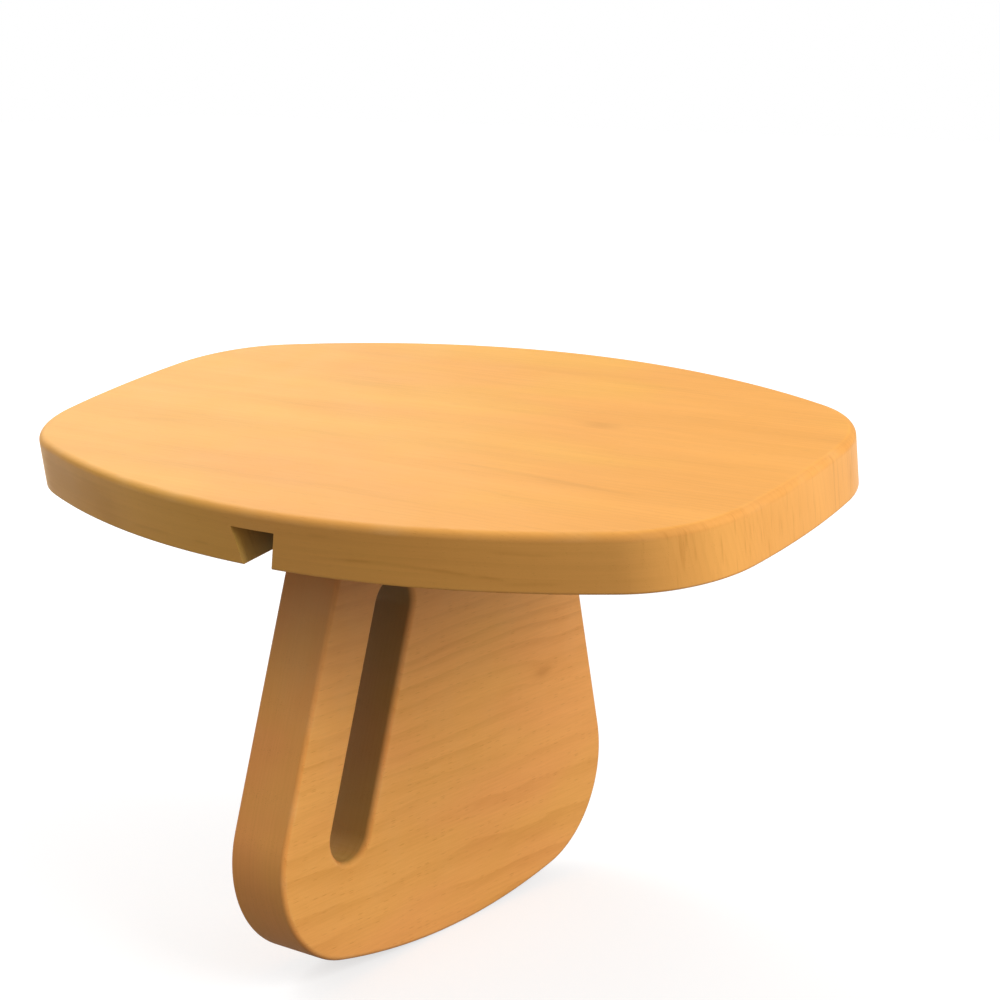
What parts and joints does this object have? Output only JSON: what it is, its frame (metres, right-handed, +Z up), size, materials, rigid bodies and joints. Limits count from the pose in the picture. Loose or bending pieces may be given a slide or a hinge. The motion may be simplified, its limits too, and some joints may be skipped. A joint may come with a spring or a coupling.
{
  "type": "meditation bench",
  "caption": "Kneeling meditation bench: a bowed, sloping wooden seat board that slides by a stopped dovetail onto a single rocker leg with a slanted hand slot.",
  "frame": {"origin": "on the floor, in the middle of the bench as seen from above, with the bench standing as it balances by itself", "axes": "+X along the seat's length, +Y towards the seat's high side, away from the groove's mouth, +Z up"},
  "size_m": [0.33, 0.2002, 0.2169],
  "materials": {
    "seat_wood": "fine straight-grained honey-coloured hardwood, grain along X, satin clear lacquer",
    "leg_wood": "the same hardwood, grain along Y, satin clear lacquer"
  },
  "bodies": {
    "leg": {"leg_board": "leg_wood"},
    "seat": {"seat_board": "seat_wood"}
  },
  "joints": [
    {"name": "seat_slide", "type": "slide", "parent": "leg", "child": "seat", "axis": [0, 0.9848, 0.1736], "range_m": [0, 0.165]}
  ]
}
